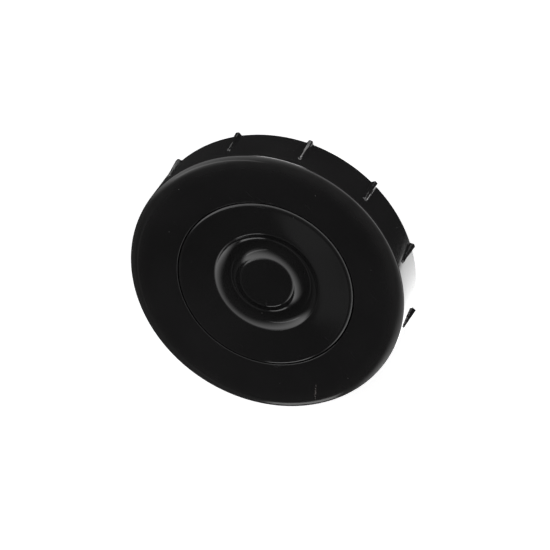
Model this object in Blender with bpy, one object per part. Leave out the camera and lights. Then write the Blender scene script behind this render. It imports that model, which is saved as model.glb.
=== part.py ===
"""Round press-in desk grommet: a ribbed outer ring, a dished inner cover that turns and lifts out,
and the soft seat ring that the cover lies on.

Units are metres and +Z is up. The origin is the centre of the outer ring's back edge, so the
grommet stands on that edge with its face upwards, and the Z axis is the axis of every piece.
An outline is a list of (r, z, radius) corners: r out from the axis, z up, radius of the rounding.
"""

import math

import bmesh
import bpy
from mathutils import Matrix, Vector

MM = 0.001

# Driving dimensions
RIM_RADIUS = 38.0 * MM
CREST_HEIGHT = 13.6 * MM  # from the back edge up to the highest circle of the ring's face
COVER_HEIGHT = 13.2 * MM  # up to the top of the cover's edge
COVER_RADIUS = 24.4 * MM
COVER_GAP = 0.25 * MM  # between the cover and the ring's bore
CLEARANCE = 0.3 * MM
SMALL_ROUND = 0.3 * MM

# Faceting
SEGMENTS = 72  # round the axis
SMALL_ROUND_STEPS = 2
ROUND_STEPS = 4
FACE_STEPS = 3  # between the bore and the crest
DISH_STEPS = 4  # between the finger groove and the cover's edge
WELD = 0.01 * MM
CREASE_ANGLE = math.radians(32)

# Outer ring: the face rises from the cover to a crest, falls in a broad arc, and ends in a tight one
STEP_HEIGHT = 12.9 * MM  # of the face beside the cover
STEP_ROUND = 0.2 * MM
CREST_RADIUS = 35.0 * MM
FACE_POWER = 1.25  # 1 is a plain cone, and more is flatter near the crest
RIM_SLOPE = math.radians(36)  # where the broad arc ends
RIM_EDGE_ROUND = 0.6 * MM
UNDERSIDE = 11.0 * MM
SKIRT_WALL = 1.8 * MM
COLLAR_WALL = 2.0 * MM
INNER_FILLET = 0.8 * MM
LEDGE_TOP = 10.0 * MM
LEDGE_THICKNESS = 1.8 * MM
CABLE_HOLE_RADIUS = 21.6 * MM

# Press-fit ribs on the skirt, highest and widest at the back edge
RIB_COUNT = 12
RIB_BOTTOM = 0.1 * MM
RIB_TOP = 9.0 * MM
RIB_PROUD = (1.05 * MM, 0.35 * MM)  # at the bottom, at the top
RIB_WIDTH = (1.8 * MM, 1.0 * MM)
RIB_ROOT = 0.9 * MM  # how far a rib reaches into the skirt's wall
RIB_SECTION = ((0.5, 0.9), (0.9, 0.5), (1.0, 0.0))  # shares of its height and half width
RIB_END = 0.6 * MM  # how much of its length is the rounded end at the top
RIB_END_SIZES = ((1.0, 1.0), (0.4, 0.75), (0.0, 0.25))  # share of that end still to go, size

# Inner cover
COVER_WALL = 1.6 * MM
COVER_EDGE_ROUND = 1.0 * MM
DISH_SLOPES = (math.radians(-6), math.radians(-11))  # at the finger groove, at the cover's edge
DISH_POWER = 1.1  # 1 is a plain cone, and more is flatter near the groove
GROOVE_RADIUS = 11.0 * MM  # of its lowest circle
GROOVE_HEIGHT = 9.75 * MM
GROOVE_ARC = 4.3 * MM
GROOVE_SLOPES = (math.radians(52), math.radians(-50))  # of its inner wall, of its outer wall
BUTTON_ROUND = 1.2 * MM
DISH_ROUND = 1.0 * MM
FLANGE_BOTTOM = 11.6 * MM

# The cover's plug: a short tube slotted into spring fingers, each with a nub under the ledge
PLUG_RADIUS = 20.9 * MM
PLUG_WALL = 1.4 * MM
PLUG_BOTTOM = 6.5 * MM
NUB_PROUD = 0.4 * MM
FINGER_COUNT = 6
SLOT_WIDTH = 2.2 * MM
SLOT_TOP = 9.6 * MM
SLOT_OVERCUT = 1.0 * MM  # how far its cutter reaches past the plug

# Seat ring, between the ledge and the cover's flange
SEAT_INNER = 21.9 * MM
SEAT_OUTER = 24.3 * MM
SEAT_BOTTOM = LEDGE_TOP + CLEARANCE
SEAT_TOP = FLANGE_BOTTOM - CLEARANCE


def clear_scene():
    for thing in list(bpy.data.objects):
        bpy.data.objects.remove(thing)


def plastic(name, colour, roughness):
    """A non-metallic Principled material."""
    material = bpy.data.materials.new(name)
    material.use_nodes = True
    shader = material.node_tree.nodes["Principled BSDF"]
    shader.inputs["Base Color"].default_value = (*colour, 1.0)
    shader.inputs["Roughness"].default_value = roughness
    shader.inputs["Metallic"].default_value = 0.0
    return material


def ring_material():
    return plastic("ring_black_plastic", (0.010, 0.010, 0.011), 0.18)


def cover_material():
    return plastic("cover_black_plastic", (0.009, 0.009, 0.010), 0.14)


def seat_material():
    return plastic("seat_black_rubber", (0.022, 0.022, 0.022), 0.75)


def corner_arc(before, corner, after, radius, steps):
    """Points of the arc that rounds one corner of an outline."""
    to_before = (before - corner).normalized()
    to_after = (after - corner).normalized()
    half_angle = to_before.angle(to_after) / 2
    middle = (to_before + to_after).normalized()
    centre = corner + middle * (radius / math.sin(half_angle))
    start = corner + to_before * (radius / math.tan(half_angle)) - centre
    end = corner + to_after * (radius / math.tan(half_angle)) - centre
    turn = -start.angle_signed(end)
    return [centre + Matrix.Rotation(turn * i / steps, 2) @ start for i in range(steps + 1)]


def rounded(corners, closed):
    """The points of an outline, with an arc at each corner that has a radius."""
    places = [Vector((r, z)) for r, z, _ in corners]
    points = []
    for index, (_, _, radius) in enumerate(corners):
        is_end = not closed and index in (0, len(corners) - 1)
        if radius == 0 or is_end:
            points.append(places[index])
            continue
        after = places[(index + 1) % len(places)]
        steps = SMALL_ROUND_STEPS if radius <= SMALL_ROUND else ROUND_STEPS
        points += corner_arc(places[index - 1], places[index], after, radius, steps)
    return points


def turned(name, corners, closed, base=0.0):
    """A solid of revolution about Z, whose own origin is on the axis at height base."""
    points = rounded(corners, closed)
    last = len(points) if closed else len(points) - 1
    edges = [(i, (i + 1) % len(points)) for i in range(last)]
    mesh = bpy.data.meshes.new(name)
    mesh.from_pydata([(p.x, 0.0, p.y - base) for p in points], edges, [])
    piece = bpy.data.objects.new(name, mesh)
    piece.location.z = base
    bpy.context.scene.collection.objects.link(piece)
    screw = piece.modifiers.new("turn", "SCREW")
    screw.axis = "Z"
    screw.steps = SEGMENTS
    screw.render_steps = SEGMENTS
    screw.use_merge_vertices = True
    screw.merge_threshold = WELD
    return piece


def combine(piece, mesh, operation):
    """Join a helper mesh to a piece or cut it from the piece with a Boolean."""
    helper = bpy.data.objects.new(mesh.name, mesh)
    bpy.context.scene.collection.objects.link(helper)
    helper.hide_render = True
    helper.display_type = "WIRE"
    boolean = piece.modifiers.new(mesh.name, "BOOLEAN")
    boolean.operation = operation
    boolean.solver = "EXACT"
    boolean.object = helper


def settle(piece, material):
    """Apply a piece's modifiers, then shade its round faces smooth and keep its edges crisp."""
    graph = bpy.context.evaluated_depsgraph_get()
    mesh = bpy.data.meshes.new_from_object(piece.evaluated_get(graph))
    mesh.name = piece.name
    piece.modifiers.clear()
    piece.data = mesh
    mesh.shade_smooth()
    mesh.set_sharp_from_angle(angle=CREASE_ANGLE)
    mesh.materials.clear()
    mesh.materials.append(material)
    return piece


def arc(centre, radius, slopes, steps):
    """Corners along an arc, between two slopes that are positive where the surface falls outwards.

    The centre is (r, z). A negative radius makes the arc hollow.
    """
    start, end = slopes
    corners = []
    for step in range(steps + 1):
        slope = start + (end - start) * step / steps
        r = centre[0] + radius * math.sin(slope)
        corners.append((r, centre[1] + radius * math.cos(slope), 0))
    return corners


def rim_arcs():
    """The broad arc from the crest outwards, then the tight one that ends on the skirt."""
    edge_centre_r = RIM_RADIUS - RIM_EDGE_ROUND
    broad = RIM_EDGE_ROUND + (edge_centre_r - CREST_RADIUS) / math.sin(RIM_SLOPE)
    edge_centre_z = CREST_HEIGHT - broad + (broad - RIM_EDGE_ROUND) * math.cos(RIM_SLOPE)
    corners = arc((CREST_RADIUS, CREST_HEIGHT - broad), broad, (0, RIM_SLOPE), ROUND_STEPS)
    edge = (edge_centre_r, edge_centre_z)
    corners += arc(edge, RIM_EDGE_ROUND, (RIM_SLOPE, math.pi / 2), ROUND_STEPS)[1:]
    return corners


def ring_outline():
    """Face, rounded rim, skirt, underside, and the collar whose ledge carries the cover."""
    hole = COVER_RADIUS + COVER_GAP
    skirt_inside = RIM_RADIUS - SKIRT_WALL
    collar_outside = hole + COLLAR_WALL
    ledge_bottom = LEDGE_TOP - LEDGE_THICKNESS
    corners = [(hole, STEP_HEIGHT, STEP_ROUND)]
    for share in between(0, 1, FACE_STEPS):
        rise = (CREST_HEIGHT - STEP_HEIGHT) * (1 - (1 - share) ** FACE_POWER)
        corners.append((hole + (CREST_RADIUS - hole) * share, STEP_HEIGHT + rise, 0))
    corners += rim_arcs()
    corners += [
        (RIM_RADIUS, 0, SMALL_ROUND),
        (skirt_inside, 0, SMALL_ROUND),
        (skirt_inside, UNDERSIDE, INNER_FILLET),
        (collar_outside, UNDERSIDE, INNER_FILLET),
        (collar_outside, ledge_bottom, SMALL_ROUND),
        (CABLE_HOLE_RADIUS, ledge_bottom, SMALL_ROUND),
        (CABLE_HOLE_RADIUS, LEDGE_TOP, SMALL_ROUND),
        (hole, LEDGE_TOP, 0),
    ]
    return corners


def rib_section(share):
    """A rib's (outward, sideways) section, share of the way from its bottom to its top."""
    proud = RIB_PROUD[0] + (RIB_PROUD[1] - RIB_PROUD[0]) * share
    half = (RIB_WIDTH[0] + (RIB_WIDTH[1] - RIB_WIDTH[0]) * share) / 2
    side = [(out * proud, across * half) for out, across in RIB_SECTION]
    other_side = [(out, -across) for out, across in reversed(side[:-1])]
    return [(-RIB_ROOT, half), *side, *other_side, (-RIB_ROOT, -half)]


def add_rib(ribs, turn):
    """One rib, whose top end is rounded off, turned to its place round the skirt."""
    sections = []
    end = [(RIB_TOP - left * RIB_END, size) for left, size in RIB_END_SIZES]
    for height, size in [(RIB_BOTTOM, 1.0), *end]:
        share = (height - RIB_BOTTOM) / (RIB_TOP - RIB_BOTTOM)
        section = []
        for outward, sideways in rib_section(share):
            proud = outward * size if outward > 0 else outward
            place = turn @ Vector((RIM_RADIUS + proud, sideways * size, height))
            section.append(ribs.verts.new(place))
        sections.append(section)
    for lower, upper in zip(sections, sections[1:]):
        bmesh.ops.bridge_loops(ribs, edges=loop_edges(ribs, lower) + loop_edges(ribs, upper))
    ribs.faces.new(sections[0])
    ribs.faces.new(sections[-1])


def loop_edges(mesh, verts):
    """The closed loop of edges through these vertices, made where it isn't there yet."""
    edges = []
    for first, second in zip(verts, verts[1:] + verts[:1]):
        edges.append(mesh.edges.get((first, second)) or mesh.edges.new((first, second)))
    return edges


def rib_mesh():
    ribs = bmesh.new()
    for index in range(RIB_COUNT):
        add_rib(ribs, Matrix.Rotation(2 * math.pi * index / RIB_COUNT, 3, "Z"))
    bmesh.ops.recalc_face_normals(ribs, faces=ribs.faces)
    mesh = bpy.data.meshes.new("press_fit_ribs")
    ribs.to_mesh(mesh)
    ribs.free()
    return mesh


def make_outer_ring():
    ring = turned("outer_ring", ring_outline(), closed=True)
    combine(ring, rib_mesh(), "UNION")
    return settle(ring, ring_material())


def between(start, end, count):
    """Count values evenly spaced between start and end, leaving both out."""
    return [start + (end - start) * (i + 1) / (count + 1) for i in range(count)]


def beside_groove(slope, radius):
    """Centre of the arc of this radius that carries on from the groove's wall at this slope."""
    reach = GROOVE_ARC + radius
    middle = GROOVE_HEIGHT + GROOVE_ARC
    return (GROOVE_RADIUS - reach * math.sin(slope), middle - reach * math.cos(slope))


def cover_top():
    """The cover's upper surface from the axis out: flat button, finger groove, dish, rounded edge."""
    inner_wall, outer_wall = GROOVE_SLOPES
    dish_start, dish_end = DISH_SLOPES
    button = beside_groove(inner_wall, BUTTON_ROUND)
    groove = (GROOVE_RADIUS, GROOVE_HEIGHT + GROOVE_ARC)
    rise_start = beside_groove(outer_wall, DISH_ROUND)
    edge = (COVER_RADIUS - COVER_EDGE_ROUND, COVER_HEIGHT - COVER_EDGE_ROUND)
    corners = [(0, button[1] + BUTTON_ROUND, 0)]
    corners += arc(button, BUTTON_ROUND, (0, inner_wall), ROUND_STEPS)
    corners += arc(groove, -GROOVE_ARC, GROOVE_SLOPES, 2 * ROUND_STEPS)[1:]
    corners += arc(rise_start, DISH_ROUND, (outer_wall, dish_start), ROUND_STEPS)[1:]
    rounding = arc(edge, COVER_EDGE_ROUND, (dish_end, 0), 1)
    rounding += arc(edge, COVER_EDGE_ROUND, (0, math.pi / 2), ROUND_STEPS)[1:]
    low_r, low_z, _ = corners[-1]
    high_r, high_z, _ = rounding[0]
    for share in between(0, 1, DISH_STEPS):
        rise = (high_z - low_z) * share**DISH_POWER
        corners.append((low_r + (high_r - low_r) * share, low_z + rise, 0))
    return corners + rounding


def cover_underside(top, widest):
    """The hollow under the cover, one wall below its upper surface, from the widest radius inwards."""
    inside = [(r, z - COVER_WALL, 0) for r, z, _ in top if r < widest]
    beyond_r, beyond_z, _ = top[len(inside)]
    last_r, last_z, _ = inside[-1]
    slope = (beyond_z - COVER_WALL - last_z) / (beyond_r - last_r)
    return [(widest, last_z + slope * (widest - last_r), 0), *reversed(inside)]


def cover_outline():
    """Upper surface from the axis out, the edge, the flange, the plug, and back underneath."""
    plug_inside = PLUG_RADIUS - PLUG_WALL
    nub_top = LEDGE_TOP - LEDGE_THICKNESS - CLEARANCE
    top = cover_top()
    corners = [
        *top,
        (COVER_RADIUS, FLANGE_BOTTOM, SMALL_ROUND),
        (PLUG_RADIUS, FLANGE_BOTTOM, 0),
        (PLUG_RADIUS, nub_top, 0),
        (PLUG_RADIUS + NUB_PROUD, nub_top - NUB_PROUD, 0),
        (PLUG_RADIUS + NUB_PROUD, nub_top - 2 * NUB_PROUD, 0),
        (PLUG_RADIUS, PLUG_BOTTOM, 0),
        (plug_inside, PLUG_BOTTOM, 0),
    ]
    return corners + cover_underside(top, plug_inside)


def slot_mesh():
    """The slots that part the plug into spring fingers."""
    slots = bmesh.new()
    depth = SLOT_TOP - PLUG_BOTTOM + SLOT_OVERCUT
    size = Matrix.Diagonal((PLUG_WALL + 2 * SLOT_OVERCUT, SLOT_WIDTH, depth, 1.0))
    place = Vector((PLUG_RADIUS - PLUG_WALL / 2, 0, SLOT_TOP - depth / 2))
    for index in range(FINGER_COUNT):
        turn = Matrix.Rotation(2 * math.pi * index / FINGER_COUNT, 4, "Z")
        bmesh.ops.create_cube(slots, size=1.0, matrix=turn @ Matrix.Translation(place) @ size)
    mesh = bpy.data.meshes.new("finger_slots")
    slots.to_mesh(mesh)
    slots.free()
    return mesh


def make_inner_cover():
    cover = turned("inner_cover", cover_outline(), closed=False, base=FLANGE_BOTTOM)
    combine(cover, slot_mesh(), "DIFFERENCE")
    return settle(cover, cover_material())


def make_seat_ring():
    corners = [
        (SEAT_INNER, SEAT_TOP, SMALL_ROUND),
        (SEAT_OUTER, SEAT_TOP, SMALL_ROUND),
        (SEAT_OUTER, SEAT_BOTTOM, SMALL_ROUND),
        (SEAT_INNER, SEAT_BOTTOM, SMALL_ROUND),
    ]
    seat = turned("seat_ring", corners, closed=True, base=SEAT_BOTTOM)
    return settle(seat, seat_material())


def main():
    clear_scene()
    make_outer_ring()
    axis = bpy.data.objects.new("cover_axis", None)
    bpy.context.scene.collection.objects.link(axis)
    for piece in (make_seat_ring(), make_inner_cover()):
        piece.parent = axis


main()
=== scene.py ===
"""Looks of the desk grommet: fine turned meshes, moulded black plastic, a pale floor and soft studio light.

Everything is in metres in the CAD frame: +Z out of the visible face, origin at the centre of the
back edge. An outline is a list of (r, z, radius) corners: out from the axis, up, and the rounding.
"""

import math
from collections import namedtuple
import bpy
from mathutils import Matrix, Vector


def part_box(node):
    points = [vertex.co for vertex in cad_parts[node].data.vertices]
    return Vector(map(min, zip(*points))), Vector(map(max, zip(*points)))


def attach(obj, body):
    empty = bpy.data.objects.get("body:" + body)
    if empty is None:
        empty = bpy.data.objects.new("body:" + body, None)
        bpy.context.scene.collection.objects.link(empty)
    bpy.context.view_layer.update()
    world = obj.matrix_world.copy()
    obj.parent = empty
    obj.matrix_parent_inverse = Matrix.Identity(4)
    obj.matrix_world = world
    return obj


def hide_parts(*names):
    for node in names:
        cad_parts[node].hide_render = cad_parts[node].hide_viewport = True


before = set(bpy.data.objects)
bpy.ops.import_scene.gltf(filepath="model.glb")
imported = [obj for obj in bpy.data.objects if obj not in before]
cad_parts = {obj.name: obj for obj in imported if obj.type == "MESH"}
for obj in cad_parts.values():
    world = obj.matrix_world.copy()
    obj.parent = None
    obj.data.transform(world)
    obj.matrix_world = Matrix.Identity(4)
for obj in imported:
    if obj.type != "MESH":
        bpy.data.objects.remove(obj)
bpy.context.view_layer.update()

from types import SimpleNamespace

import bmesh
import bpy
import numpy as np
from mathutils import Matrix, Vector

MM = 0.001

# Sizes that the frame gives
RING_LOW, RING_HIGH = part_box("outer_ring")
COVER_LOW, COVER_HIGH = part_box("inner_cover")
SEAT_LOW, SEAT_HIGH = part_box("seat_ring")

# Outer ring
RIB_PROUD = (1.05 * MM, 0.35 * MM)  # at the back edge, at the front end
RIM_RADIUS = RING_HIGH.x - RIB_PROUD[0]
CREST_HEIGHT = RING_HIGH.z
CREST_RADIUS = RIM_RADIUS - 3.0 * MM
RIM_SLOPE = math.radians(36)  # where the rim's broad arc ends
RIM_EDGE_ROUND = 0.6 * MM
CLEARANCE = 0.3 * MM
COVER_RADIUS = COVER_HIGH.x
HOLE_RADIUS = COVER_RADIUS + 0.25 * MM
LIP_RADIUS = COVER_RADIUS + 0.12 * MM  # the bore narrows at the face, which keeps dirt out
LIP_DEPTH = 0.9 * MM
LIP_CHAMFER = 0.15 * MM
STEP_HEIGHT = CREST_HEIGHT - 0.7 * MM  # of the face beside the cover
STEP_ROUND = 0.35 * MM
FACE_POWER = 1.25  # how the face's rise eases off towards the crest
SKIRT_INSIDE = RIM_RADIUS - 1.8 * MM
SKIRT_EDGE_ROUND = 0.15 * MM
COLLAR_OUTSIDE = HOLE_RADIUS + 2.0 * MM
UNDERSIDE = 11.0 * MM
LEDGE_TOP = SEAT_LOW.z - CLEARANCE
LEDGE_BOTTOM = LEDGE_TOP - 1.8 * MM
CABLE_HOLE_RADIUS = 21.6 * MM
EDGE_ROUND = 0.3 * MM
FILLET = 0.8 * MM

# Press-fit ribs
RIB_COUNT = 12
RIB_TOP = 9.0 * MM
RIB_HALF_WIDTH = (0.9 * MM, 0.5 * MM)
RIB_FLANK = (1.15, 0.4)  # from its foot to its full height, as shares of the half width
RIB_SPAN = math.radians(2.0)  # half the angle that a rib and its foot take up

# Inner cover
COVER_EDGE_HEIGHT = COVER_HIGH.z
COVER_EDGE_ROUND = 1.0 * MM
DISH_SLOPES = (math.radians(-6), math.radians(-11))  # at the finger groove, at the cover's edge
DISH_POWER = 1.1
GROOVE_RADIUS = 11.0 * MM  # of its lowest circle
GROOVE_HEIGHT = COVER_EDGE_HEIGHT - 3.45 * MM
GROOVE_ARC = 4.3 * MM
GROOVE_SLOPES = (math.radians(52), math.radians(-50))  # of its inner wall, of its outer wall
BUTTON_ROUND = 1.2 * MM
DISH_ROUND = 1.0 * MM
COVER_WALL = 1.6 * MM
FLANGE_BOTTOM = SEAT_HIGH.z + CLEARANCE
PLUG_RADIUS = 20.9 * MM
PLUG_INSIDE = PLUG_RADIUS - 1.4 * MM
PLUG_BOTTOM = COVER_LOW.z
PLUG_ROOT = 0.3 * MM  # how far inside the plug's wall the cover's underside ends
NUB_PROUD = 0.4 * MM
NUB_ROUND = 0.12 * MM
NUB_TOP = LEDGE_BOTTOM - CLEARANCE
FINGER_COUNT = 6
SLOT_WIDTH = 2.2 * MM
SLOT_TOP = 9.6 * MM
SLOT_OVERCUT = 1.0 * MM  # how far its cutter reaches past the plug

# Seat ring
SEAT_INSIDE = 21.9 * MM

# The plastics' colours
RING_BLACK = (0.0106, 0.0103, 0.0106)
COVER_BLACK = (0.0098, 0.0096, 0.0098)

# Layers of hairline scratches: the angle that each is turned by, its fineness and its threshold
HAIRLINES = ((0.5, 1.1, 0.70), (1.9, 0.9, 0.72), (2.7, 1.5, 0.71))

# Where the ring's colour turns a lighter grey towards the rim, in millimetres: it grows outwards from this
# radius, and upwards between these heights
RIM_TINT_FROM = 32.5
RIM_TINT_HEIGHTS = (11.6, 12.6)

# The painted highlight on the ring's face: the small lamp's reflection near the rim, drawn as a short light
# streak between these ends, in millimetres
LAMP_GLINT_ENDS = ((-33.2, 14.7), (-29.7, 10.6))
LAMP_GLINT_HALF_WIDTH = 0.15

# Camera, at the photograph's viewing angle
CAMERA_AZIMUTH = math.radians(15.6)
CAMERA_ELEVATION = math.radians(55.15)
CAMERA_ROLL = math.radians(-147.98)
CAMERA_DISTANCE = 0.63
CAMERA_LENS = 155.6
AIM_HEIGHT = 11.7 * MM  # of the point on the axis that the camera aims beside
AIM_RIGHT = 2.36 * MM  # the view's centre, from that point
AIM_UP = 2.10 * MM

# Floor
FLOOR_HALF_SIZE = 3.0
FLOOR_GAP = 0.2 * MM  # under the back edge
FLOOR_GLOW = 0.72

SHARP_ANGLE = math.radians(35)  # an edge that turns more than this is shaded sharp
ON_AXIS = 1e-9


# ---------------------------------------------------------------- outlines and turned meshes

def corner_arc(before, corner, after, radius):
    """Points of the arc that rounds one corner of an outline, one every six degrees or so."""
    to_before = (before - corner).normalized()
    to_after = (after - corner).normalized()
    half_angle = to_before.angle(to_after) / 2
    middle = (to_before + to_after).normalized()
    centre = corner + middle * (radius / math.sin(half_angle))
    start = corner + to_before * (radius / math.tan(half_angle)) - centre
    end = corner + to_after * (radius / math.tan(half_angle)) - centre
    turn = -start.angle_signed(end)
    steps = max(2, math.ceil(abs(math.degrees(turn)) / 6))
    return [centre + Matrix.Rotation(turn * i / steps, 2) @ start for i in range(steps + 1)]


def rounded(corners, closed):
    """The points of an outline, with an arc at each corner that has a radius."""
    places = [Vector((r, z)) for r, z, _ in corners]
    points = []
    for index, (_, _, radius) in enumerate(corners):
        is_end = not closed and index in (0, len(corners) - 1)
        if radius == 0 or is_end:
            points.append(places[index])
        else:
            after = places[(index + 1) % len(places)]
            points += corner_arc(places[index - 1], places[index], after, radius)
    return points


def turned(name, points, closed, angles, outward=None):
    """A mesh turned about Z. outward(angle, r, z) moves a point out from the axis."""
    verts = []
    columns = []
    for angle in angles:
        column = []
        for index, point in enumerate(points):
            r, z = point
            if r < ON_AXIS and columns:
                column.append(columns[0][index])
                continue
            if outward:
                r += outward(angle, r, z)
            column.append(len(verts))
            verts.append((r * math.cos(angle), r * math.sin(angle), z))
        columns.append(column)
    faces = []
    last = len(points) if closed else len(points) - 1
    for here, there in zip(columns, columns[1:] + columns[:1]):
        for i in range(last):
            j = (i + 1) % len(points)
            corners = [here[i], here[j], there[j], there[i]]
            faces.append(list(dict.fromkeys(corners)))
    mesh = bpy.data.meshes.new(name)
    mesh.from_pydata(verts, [], faces)
    mesh.validate()
    piece = bpy.data.objects.new(name, mesh)
    bpy.context.scene.collection.objects.link(piece)
    return piece


def even_angles(count):
    return [2 * math.pi * i / count for i in range(count)]


def spaced(start, end, count):
    """Count values from start to end, both included."""
    return [float(v) for v in np.linspace(start, end, count)]


def smooth_shade(piece):
    piece.data.shade_smooth()
    piece.data.set_sharp_from_angle(angle=SHARP_ANGLE)


def finish_piece(piece, body, node, material):
    """Put a material on a piece, let it ride on its body, and hide the CAD node it stands for."""
    piece.data.materials.clear()
    piece.data.materials.append(material)
    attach(piece, body)
    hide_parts(node)


# ---------------------------------------------------------------- outer ring

def blend(pair, share):
    return pair[0] + (pair[1] - pair[0]) * share


def ease(value):
    value = min(max(value, 0.0), 1.0)
    return value * value * (3 - 2 * value)


def rib_rise(angle, r, z):
    """How far a rib lifts the skirt's outer surface: a tapering ridge with a rounded front end."""
    if r < RIM_RADIUS - 0.2 * MM or z > RIB_TOP + 0.5 * MM:
        return 0.0
    pitch = 2 * math.pi / RIB_COUNT
    sideways = ((angle + pitch / 2) % pitch - pitch / 2) * RIM_RADIUS
    share = min(max(z / RIB_TOP, 0.0), 1.0)
    half = blend(RIB_HALF_WIDTH, share)
    past_end = max(z - (RIB_TOP - half), 0.0)
    from_spine = math.hypot(sideways, past_end) / half
    foot, full = RIB_FLANK
    return blend(RIB_PROUD, share) * ease((foot - from_spine) / (foot - full))


def ring_angles():
    """Close together across each rib, and wider on the plain skirt between ribs."""
    pitch = 2 * math.pi / RIB_COUNT
    across = spaced(-RIB_SPAN, RIB_SPAN, 25)
    plain = spaced(RIB_SPAN, pitch - RIB_SPAN, 15)[1:-1]
    return [pitch * rib + offset for rib in range(RIB_COUNT) for offset in across + plain]


def arc(centre, radius, slopes, step_deg=2.0):
    """Corners along an arc, between two slopes that are positive where the surface falls outwards.

    The centre is (r, z). A negative radius makes the arc hollow.
    """
    count = math.ceil(abs(math.degrees(slopes[1] - slopes[0])) / step_deg) + 1
    corners = []
    for slope in spaced(*slopes, count):
        r = centre[0] + radius * math.sin(slope)
        corners.append((r, centre[1] + radius * math.cos(slope), 0))
    return corners


def rim_arcs():
    """The broad arc from the crest outwards, then the tight one that ends on the skirt."""
    edge_centre_r = RIM_RADIUS - RIM_EDGE_ROUND
    broad = RIM_EDGE_ROUND + (edge_centre_r - CREST_RADIUS) / math.sin(RIM_SLOPE)
    edge_centre_z = CREST_HEIGHT - broad + (broad - RIM_EDGE_ROUND) * math.cos(RIM_SLOPE)
    corners = arc((CREST_RADIUS, CREST_HEIGHT - broad), broad, (0, RIM_SLOPE))
    edge = (edge_centre_r, edge_centre_z)
    return corners + arc(edge, RIM_EDGE_ROUND, (RIM_SLOPE, math.pi / 2), 4.0)[1:]


def ring_points():
    """Section of the ring: dished face, rim, skirt, underside, collar and ledge."""
    corners = [(LIP_RADIUS, STEP_HEIGHT, STEP_ROUND)]
    face_width = CREST_RADIUS - LIP_RADIUS
    for share in spaced(0.08, 0.95, 15):
        rise = (CREST_HEIGHT - STEP_HEIGHT) * (1 - (1 - share) ** FACE_POWER)
        corners.append((LIP_RADIUS + face_width * share, STEP_HEIGHT + rise, 0))
    corners += rim_arcs()
    corners += [(RIM_RADIUS, z, 0) for z in spaced(RIB_TOP + 0.3 * MM, RIB_TOP - 0.9 * MM, 13)]
    corners += [(RIM_RADIUS, z, 0) for z in spaced(RIB_TOP - 1.2 * MM, 0.6 * MM, 12)]
    corners += [
        (RIM_RADIUS, 0, SKIRT_EDGE_ROUND),
        (SKIRT_INSIDE, 0, EDGE_ROUND),
        (SKIRT_INSIDE, UNDERSIDE, FILLET),
        (COLLAR_OUTSIDE, UNDERSIDE, FILLET),
        (COLLAR_OUTSIDE, LEDGE_BOTTOM, EDGE_ROUND),
        (CABLE_HOLE_RADIUS, LEDGE_BOTTOM, EDGE_ROUND),
        (CABLE_HOLE_RADIUS, LEDGE_TOP, EDGE_ROUND),
        (HOLE_RADIUS, LEDGE_TOP, 0),
        (HOLE_RADIUS, STEP_HEIGHT - LIP_DEPTH, 0),
        (LIP_RADIUS, STEP_HEIGHT - LIP_DEPTH + LIP_CHAMFER, 0),
    ]
    return rounded(corners, closed=True)


def make_ring(material):
    ring = turned("outer_ring_shell", ring_points(), True, ring_angles(), rib_rise)
    smooth_shade(ring)
    finish_piece(ring, "ring", "outer_ring", material)


# ---------------------------------------------------------------- inner cover

def beside_groove(slope, radius):
    """Centre of the arc of this radius that carries on from the groove's wall at this slope."""
    reach = GROOVE_ARC + radius
    middle = GROOVE_HEIGHT + GROOVE_ARC
    return (GROOVE_RADIUS - reach * math.sin(slope), middle - reach * math.cos(slope))


def cover_top():
    """The cover's upper surface from the axis out: flat button, finger groove, dish, rounded edge."""
    inner_wall, outer_wall = GROOVE_SLOPES
    dish_start, dish_end = DISH_SLOPES
    button = beside_groove(inner_wall, BUTTON_ROUND)
    groove = (GROOVE_RADIUS, GROOVE_HEIGHT + GROOVE_ARC)
    rise_start = beside_groove(outer_wall, DISH_ROUND)
    edge = (COVER_RADIUS - COVER_EDGE_ROUND, COVER_EDGE_HEIGHT - COVER_EDGE_ROUND)
    corners = [(r, button[1] + BUTTON_ROUND, 0) for r in spaced(0, button[0], 5)[:-1]]
    corners += arc(button, BUTTON_ROUND, (0, inner_wall), 4.0)
    corners += arc(groove, -GROOVE_ARC, GROOVE_SLOPES)[1:]
    corners += arc(rise_start, DISH_ROUND, (outer_wall, dish_start), 4.0)[1:]
    rounding = arc(edge, COVER_EDGE_ROUND, (dish_end, 0), 4.0)
    rounding += arc(edge, COVER_EDGE_ROUND, (0, math.pi / 2), 4.0)[1:]
    low_r, low_z, _ = corners[-1]
    high_r, high_z, _ = rounding[0]
    for share in spaced(0, 1, 17)[1:-1]:
        rise = (high_z - low_z) * share**DISH_POWER
        corners.append((low_r + (high_r - low_r) * share, low_z + rise, 0))
    return corners + rounding


def cover_points():
    """Section of the cover: upper surface from the axis out, edge, flange, plug, and back."""
    top = cover_top()
    corners = [
        *top,
        (COVER_RADIUS, FLANGE_BOTTOM, EDGE_ROUND),
        (PLUG_RADIUS, FLANGE_BOTTOM, 0),
        (PLUG_RADIUS, NUB_TOP, 0),
        (PLUG_RADIUS + NUB_PROUD, NUB_TOP - NUB_PROUD, NUB_ROUND),
        (PLUG_RADIUS + NUB_PROUD, NUB_TOP - 2 * NUB_PROUD, NUB_ROUND),
        (PLUG_RADIUS, PLUG_BOTTOM, 0),
        (PLUG_INSIDE, PLUG_BOTTOM, 0),
    ]
    underside_end = PLUG_INSIDE - PLUG_ROOT
    corners += [(r, z - COVER_WALL, 0) for r, z, _ in reversed(top) if r < underside_end]
    return rounded(corners, closed=False)


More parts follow.
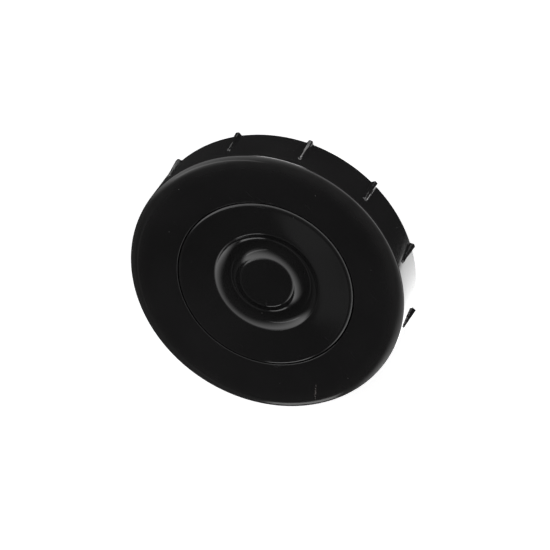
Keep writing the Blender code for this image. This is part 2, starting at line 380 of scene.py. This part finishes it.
def slot_cutter():
    """Boxes that part the plug into spring fingers."""
    slots = bmesh.new()
    depth = SLOT_TOP - PLUG_BOTTOM + SLOT_OVERCUT
    size = Matrix.Diagonal((PLUG_RADIUS - PLUG_INSIDE + 2 * SLOT_OVERCUT, SLOT_WIDTH, depth, 1.0))
    place = Vector(((PLUG_RADIUS + PLUG_INSIDE) / 2, 0, SLOT_TOP - depth / 2))
    for angle in even_angles(FINGER_COUNT):
        turn = Matrix.Rotation(angle, 4, "Z")
        bmesh.ops.create_cube(slots, size=1.0, matrix=turn @ Matrix.Translation(place) @ size)
    mesh = bpy.data.meshes.new("slot_cutter")
    slots.to_mesh(mesh)
    slots.free()
    cutter = bpy.data.objects.new("slot_cutter", mesh)
    bpy.context.scene.collection.objects.link(cutter)
    return cutter


def cut(piece, cutter):
    """Cut one mesh from another for good, and remove the cutter."""
    boolean = piece.modifiers.new("cut", "BOOLEAN")
    boolean.operation = "DIFFERENCE"
    boolean.solver = "EXACT"
    boolean.object = cutter
    graph = bpy.context.evaluated_depsgraph_get()
    piece.data = bpy.data.meshes.new_from_object(piece.evaluated_get(graph))
    piece.modifiers.clear()
    bpy.data.objects.remove(cutter)


def make_cover(material):
    cover = turned("inner_cover_shell", cover_points(), False, even_angles(240))
    cut(cover, slot_cutter())
    smooth_shade(cover)
    finish_piece(cover, "cover", "inner_cover", material)


# ---------------------------------------------------------------- seat ring

def make_seat(material):
    corners = [
        (SEAT_INSIDE, SEAT_HIGH.z, EDGE_ROUND),
        (SEAT_HIGH.x, SEAT_HIGH.z, EDGE_ROUND),
        (SEAT_HIGH.x, SEAT_LOW.z, EDGE_ROUND),
        (SEAT_INSIDE, SEAT_LOW.z, EDGE_ROUND),
    ]
    seat = turned("seat_ring_band", rounded(corners, closed=True), True, even_angles(180))
    smooth_shade(seat)
    finish_piece(seat, "seat", "seat_ring", material)


# ---------------------------------------------------------------- materials

class Shader:
    """Short names for making and joining shader nodes."""

    def __init__(self, tree):
        self.tree = tree
        self.tree.nodes.clear()

    def add(self, kind, settings=None, **inputs):
        node = self.tree.nodes.new(kind)
        for key, value in (settings or {}).items():
            setattr(node, key, value)
        for key, value in inputs.items():
            self.put(node, key.replace("_", " "), value)
        return node

    def put(self, node, socket, value):
        target = node.inputs[socket]
        if isinstance(value, bpy.types.NodeSocket):
            self.tree.links.new(value, target)
        else:
            target.default_value = value

    def maths(self, operation, first, second=0.0, third=0.0):
        node = self.tree.nodes.new("ShaderNodeMath")
        node.operation = operation
        for index, value in enumerate((first, second, third)):
            self.put(node, index, value)
        return node.outputs[0]

    def ramp(self, value, low, high, to_low=0.0, to_high=1.0):
        """A smooth step from to_low at low to to_high at high."""
        node = self.tree.nodes.new("ShaderNodeMapRange")
        node.interpolation_type = "SMOOTHSTEP"
        for index, number in enumerate((value, low, high, to_low, to_high)):
            self.put(node, index, number)
        return node.outputs[0]

    def mix_colour(self, share, first, second):
        node = self.tree.nodes.new("ShaderNodeMix")
        node.data_type = "RGBA"
        self.put(node, 0, share)
        self.put(node, 6, first)
        self.put(node, 7, second)
        return node.outputs[2]

    def millimetres(self):
        """Object coordinates in millimetres."""
        where = self.tree.nodes.new("ShaderNodeTexCoord").outputs["Object"]
        node = self.tree.nodes.new("ShaderNodeVectorMath")
        node.operation = "SCALE"
        self.put(node, 0, where)
        self.put(node, "Scale", 1000.0)
        return node.outputs[0]

    def output(self, kind, surface):
        self.put(self.tree.nodes.new(kind), "Surface", surface)

    def out_and_up(self, where):
        """Distance from the Z axis, and height."""
        split = self.add("ShaderNodeSeparateXYZ", Vector=where)
        x, y = split.outputs["X"], split.outputs["Y"]
        squares = self.maths("MULTIPLY_ADD", x, x, self.maths("MULTIPLY", y, y))
        return self.maths("SQRT", squares), split.outputs["Z"]

    def noise(self, where, scale, detail=2.0, roughness=0.5):
        node = self.add(
            "ShaderNodeTexNoise", Vector=where, Scale=scale, Detail=detail, Roughness=roughness
        )
        return node.outputs["Fac"]

    def turned_stretched(self, where, angle, stretch):
        """Coordinates turned about Z and squeezed along one axis, for scratches that run one way."""
        node = self.add("ShaderNodeMapping", Vector=where)
        node.inputs["Rotation"].default_value = (0.0, 0.0, angle)
        node.inputs["Scale"].default_value = stretch
        return node.outputs[0]


def new_material(name):
    """A material, and the shader that fills it."""
    material = bpy.data.materials.new(name)
    material.use_nodes = True
    return material, Shader(material.node_tree)


def scratch_layer(shader, where, angle, fineness, threshold):
    """Fine hairlines that all run one way: a noise stretched along them, cut to its peaks."""
    along = shader.turned_stretched(where, angle, (0.05 * fineness, 1.6 * fineness, fineness))
    lines = shader.noise(along, 1.0, 3.0, 0.55)
    patch = shader.ramp(shader.noise(where, 0.08), 0.48, 0.62)
    return shader.maths("MULTIPLY", shader.ramp(lines, threshold, threshold + 0.03), patch)


def dust_layer(shader, where):
    """Sparse specks of dust, a tenth to a quarter of a millimetre across."""
    cells = shader.add("ShaderNodeTexVoronoi", Vector=where, Scale=0.42)
    chosen = shader.ramp(cells.outputs["Color"], 0.66, 0.70)
    size = shader.maths("MULTIPLY_ADD", shader.noise(where, 3.0), 0.05, 0.02)
    near = shader.maths("LESS_THAN", cells.outputs["Distance"], size)
    return shader.maths("MULTIPLY", near, chosen)


def lamp_glint_streak(shader, where, start, end, half_width):
    """One painted highlight, the small lamp's reflection near the rim: a short light streak between two (x,
    y) places in millimetres, wavering and broken up.
    """
    length = math.dist(start, end)
    across = ((end[0] - start[0]) / length, (end[1] - start[1]) / length)
    split = shader.add("ShaderNodeSeparateXYZ", Vector=where)
    x = shader.maths("SUBTRACT", split.outputs["X"], start[0])
    y = shader.maths("SUBTRACT", split.outputs["Y"], start[1])
    forward = shader.maths("MULTIPLY_ADD", x, across[0], shader.maths("MULTIPLY", y, across[1]))
    aside = shader.maths("MULTIPLY_ADD", y, across[0], shader.maths("MULTIPLY", x, -across[1]))
    waver = shader.maths("MULTIPLY_ADD", shader.noise(where, 0.9), 0.3, -0.15)
    off_line = shader.maths("ABSOLUTE", shader.maths("ADD", aside, waver))
    from_middle = shader.maths("ABSOLUTE", shader.maths("SUBTRACT", forward, length / 2))
    line = shader.ramp(off_line, 1.5 * half_width, 0.5 * half_width)
    ends = shader.ramp(from_middle, length / 2, 0.3 * length)
    broken = shader.ramp(shader.noise(where, 2.2), 0.38, 0.52)
    return shader.maths("MULTIPLY", shader.maths("MULTIPLY", line, ends), broken)


def rim_tint_layer(shader, where, cloud):
    """An uneven lighter grey tint on the outer part of the ring's face, growing towards the rim."""
    out, up = shader.out_and_up(where)
    outwards = shader.ramp(out, RIM_TINT_FROM, RIM_RADIUS / MM)
    rim_tint = shader.maths("MULTIPLY", outwards, shader.ramp(up, *RIM_TINT_HEIGHTS))
    return shader.maths("MULTIPLY", rim_tint, shader.ramp(cloud, 0.2, 0.7, 0.5, 1.0))


def wear_layer(shader, where):
    """Patches of wear along the sharp edges."""
    pointy = shader.add("ShaderNodeNewGeometry").outputs["Pointiness"]
    patch = shader.ramp(shader.noise(where, 0.5), 0.42, 0.66)
    return shader.maths("MULTIPLY", shader.ramp(pointy, 0.53, 0.60), patch)


def plastic_marks(shader, scratches, with_lamp_glint):
    """Everything that varies over the plastic, each from 0 to 1."""
    where = shader.millimetres()
    hairlines = 0.0
    for angle, fineness, threshold in HAIRLINES:
        layer = scratch_layer(shader, where, angle, fineness, threshold)
        hairlines = shader.maths("MAXIMUM", hairlines, layer)
    lamp_glint = 0.0
    if with_lamp_glint:
        lamp_glint = lamp_glint_streak(shader, where, *LAMP_GLINT_ENDS, LAMP_GLINT_HALF_WIDTH)
    cloud = shader.noise(where, 0.22, 4.0, 0.6)
    return SimpleNamespace(
        hairlines=shader.maths("MULTIPLY", hairlines, scratches),
        lamp_glint=lamp_glint,
        dust=dust_layer(shader, where),
        wear=wear_layer(shader, where),
        rim_tint=rim_tint_layer(shader, where, cloud),
        cloud=cloud,
        flow=shader.noise(where, 0.055, 2.0, 0.45),
        grain=shader.noise(where, 9.0, 2.0, 0.5),
    )


def plastic_colour(shader, marks, colour):
    """The plastic's own colour, uneven along its flow, with each kind of mark over it, the painted
    highlight of the small lamp among them.
    """
    dark = (*[c * 0.7 for c in colour], 1.0)
    light = (*[c * 1.45 for c in colour], 1.0)
    tint = shader.mix_colour(marks.flow, dark, light)
    layers = (
        (marks.wear, 0.35, (0.045, 0.045, 0.047, 1.0)),
        # lighter grey tint towards the rim
        (marks.rim_tint, 0.3, (0.040, 0.039, 0.038, 1.0)),
        (marks.hairlines, 0.15, (0.06, 0.06, 0.062, 1.0)),
        (marks.dust, 0.55, (0.16, 0.16, 0.155, 1.0)),
        # painted highlight: the small lamp's reflection near the rim, as a light streak
        (marks.lamp_glint, 0.8, (0.14, 0.125, 0.12, 1.0)),
    )
    for mark, strength, shade in layers:
        tint = shader.mix_colour(shader.maths("MULTIPLY", mark, strength), tint, shade)
    return tint


def summed(shader, start, *terms):
    """A starting number, plus each mark times its share."""
    total = start
    for mark, share in terms:
        total = shader.maths("MULTIPLY_ADD", mark, share, total)
    return total


def moulded_plastic(name, colour, roughness, scratches, with_lamp_glint=False):
    """Black moulded plastic: flow marks, hairline scratches, worn edges and a little dust."""
    material, shader = new_material(name)
    marks = plastic_marks(shader, scratches, with_lamp_glint)
    rough = summed(
        shader,
        roughness - 0.035,
        (marks.cloud, 0.07),
        (marks.hairlines, 0.10),
        (marks.wear, 0.12),
        (marks.dust, 0.5),
        (marks.lamp_glint, 0.4),
    )
    height = summed(
        shader,
        0.0,
        (marks.flow, 0.060),
        (marks.cloud, 0.0045),
        (marks.grain, 0.00025),
        (marks.hairlines, -0.0007),
        (marks.dust, 0.010),
    )
    bump = shader.add("ShaderNodeBump", Strength=1.0, Distance=MM, Height=height)
    tint = plastic_colour(shader, marks, colour)
    surface = shader.add(
        "ShaderNodeBsdfPrincipled", Base_Color=tint, Roughness=rough, Normal=bump.outputs[0]
    )
    surface.inputs["IOR"].default_value = 1.5
    shader.output("ShaderNodeOutputMaterial", surface.outputs[0])
    return material


def soft_rubber():
    """Matt black rubber with a fine open grain and a chalky bloom."""
    material, shader = new_material("seat_rubber")
    where = shader.millimetres()
    bloom = shader.noise(where, 0.35, 4.0, 0.65)
    pores = shader.noise(where, 6.0, 3.0, 0.6)
    tint = shader.mix_colour(bloom, (0.014, 0.014, 0.014, 1.0), (0.036, 0.035, 0.034, 1.0))
    rough = shader.maths("MULTIPLY_ADD", pores, 0.20, 0.62)
    height = shader.maths("MULTIPLY", pores, 0.04)
    bump = shader.add("ShaderNodeBump", Strength=0.8, Distance=MM, Height=height)
    surface = shader.add(
        "ShaderNodeBsdfPrincipled", Base_Color=tint, Roughness=rough, Normal=bump.outputs[0]
    )
    shader.output("ShaderNodeOutputMaterial", surface.outputs[0])
    return material


# ---------------------------------------------------------------- floor, light and camera

def make_floor():
    """A plain pale floor, bright enough to read as white, that throws no light up on the skirt."""
    mesh = bpy.data.meshes.new("floor")
    half = FLOOR_HALF_SIZE
    corners = [(-half, -half, 0), (half, -half, 0), (half, half, 0), (-half, half, 0)]
    mesh.from_pydata(corners, [], [(0, 1, 2, 3)])
    floor = bpy.data.objects.new("floor", mesh)
    bpy.context.scene.collection.objects.link(floor)
    floor.location.z = -FLOOR_GAP
    material = bpy.data.materials.new("pale_floor")
    material.use_nodes = True
    surface = material.node_tree.nodes["Principled BSDF"]
    surface.inputs["Base Color"].default_value = (0.9, 0.9, 0.9, 1.0)
    surface.inputs["Roughness"].default_value = 0.9
    surface.inputs["Emission Color"].default_value = (1.0, 1.0, 1.0, 1.0)
    surface.inputs["Emission Strength"].default_value = FLOOR_GLOW
    mesh.materials.append(material)
    floor.visible_glossy = False
    floor.visible_diffuse = False


def compass(angle_deg, elevation_deg=0.0):
    """Unit vector at an angle from +X about Z and an elevation above the horizon."""
    angle, elevation = math.radians(angle_deg), math.radians(elevation_deg)
    flat = math.cos(elevation)
    return (flat * math.cos(angle), flat * math.sin(angle), math.sin(elevation))


AMBIENT = 0.030

# Each panel of light: its bearing, its half width, the fade at its sides, how far it sinks in radians
# a quarter turn on from its middle, its low and high elevation with the fade at each, and its radiance.
# The rest is in degrees.
Panel = namedtuple(
    "Panel", "name bearing half_width side_fade sinks low low_fade high high_fade radiance"
)
PANELS = (
    Panel("near", 275.0, 115.0, 22.0, -0.14, -4.0, 6.0, 10.0, 54.0, 2.1),
    Panel("rim strip", 17.0, 17.0, 4.0, 0.76, 48.0, 3.0, 53.0, 3.0, 1.6),
    Panel("spot", 127.0, 7.0, 3.0, 0.0, 6.0, 4.0, 20.0, 4.0, 1.9),
    Panel("far", 96.0, 13.0, 6.0, 0.65, 36.0, 3.0, 42.0, 3.0, 0.16),
    Panel("far low", 85.0, 60.0, 20.0, 0.0, -8.0, 6.0, 26.0, 8.0, 0.06),
    Panel("low card", 148.0, 40.0, 7.0, 0.0, -65.0, 5.0, -45.0, 5.0, 3.0),
    Panel("low strip left", 253.0, 10.0, 5.0, 0.0, -12.0, 4.0, -2.0, 4.0, 1.5),
    Panel("low strip right", 322.0, 14.0, 5.0, 0.0, -46.0, 4.0, -28.0, 4.0, 12.0),
)


def inside_panel(shader, panel, bearing, up):
    """How far inside one panel each direction is, from 0 to 1."""
    turn = shader.maths("SUBTRACT", bearing, math.radians(panel.bearing))
    aside = shader.maths("ARCCOSINE", shader.maths("COSINE", turn))
    half = panel.half_width
    share = shader.ramp(aside, math.radians(half + panel.side_fade), math.radians(half))
    level = shader.maths("MULTIPLY_ADD", shader.maths("SINE", turn), panel.sinks, up)
    low, high = panel.low, panel.high
    bottom = shader.ramp(level, math.radians(low - panel.low_fade), math.radians(low))
    top = shader.ramp(level, math.radians(high + panel.high_fade), math.radians(high))
    return shader.maths("MULTIPLY", shader.maths("MULTIPLY", bottom, top), share)


def studio_light():
    """Soft studio surroundings, dark but for the panels of light."""
    world = bpy.data.worlds.new("studio")
    bpy.context.scene.world = world
    world.use_nodes = True
    shader = Shader(world.node_tree)
    where = shader.tree.nodes.new("ShaderNodeTexCoord").outputs["Generated"]
    split = shader.add("ShaderNodeSeparateXYZ", Vector=where)
    up = shader.maths("ARCSINE", split.outputs["Z"])
    bearing = shader.maths("ARCTAN2", split.outputs["Y"], split.outputs["X"])
    total = AMBIENT
    for panel in PANELS:
        inside = inside_panel(shader, panel, bearing, up)
        total = shader.maths("MULTIPLY_ADD", inside, panel.radiance, total)
    background = shader.add("ShaderNodeBackground", Strength=total)
    background.inputs["Color"].default_value = (1.0, 1.0, 1.0, 1.0)
    shader.output("ShaderNodeOutputWorld", background.outputs[0])


def make_camera():
    back = Vector(compass(math.degrees(CAMERA_AZIMUTH) - 90, math.degrees(CAMERA_ELEVATION)))
    turn = back.to_track_quat("Z", "Y").to_matrix() @ Matrix.Rotation(CAMERA_ROLL, 3, "Z")
    aim = Vector((0, 0, AIM_HEIGHT)) + turn @ Vector((AIM_RIGHT, AIM_UP, 0))
    data = bpy.data.cameras.new("camera")
    data.lens = CAMERA_LENS
    data.sensor_width = 36.0
    data.clip_start = 0.01
    camera = bpy.data.objects.new("camera", data)
    bpy.context.scene.collection.objects.link(camera)
    camera.location = aim + back * CAMERA_DISTANCE
    camera.rotation_mode = "QUATERNION"
    camera.rotation_quaternion = turn.to_quaternion()
    bpy.context.scene.camera = camera


make_camera()
make_floor()
studio_light()
# The ring's plastic carries the painted highlight, the small lamp's reflection near the rim.
make_ring(moulded_plastic("ring_plastic", RING_BLACK, roughness=0.12, scratches=0.8, with_lamp_glint=True))
make_cover(moulded_plastic("cover_plastic", COVER_BLACK, roughness=0.10, scratches=1.0))
make_seat(soft_rubber())
bpy.context.scene.view_settings.view_transform = "Standard"
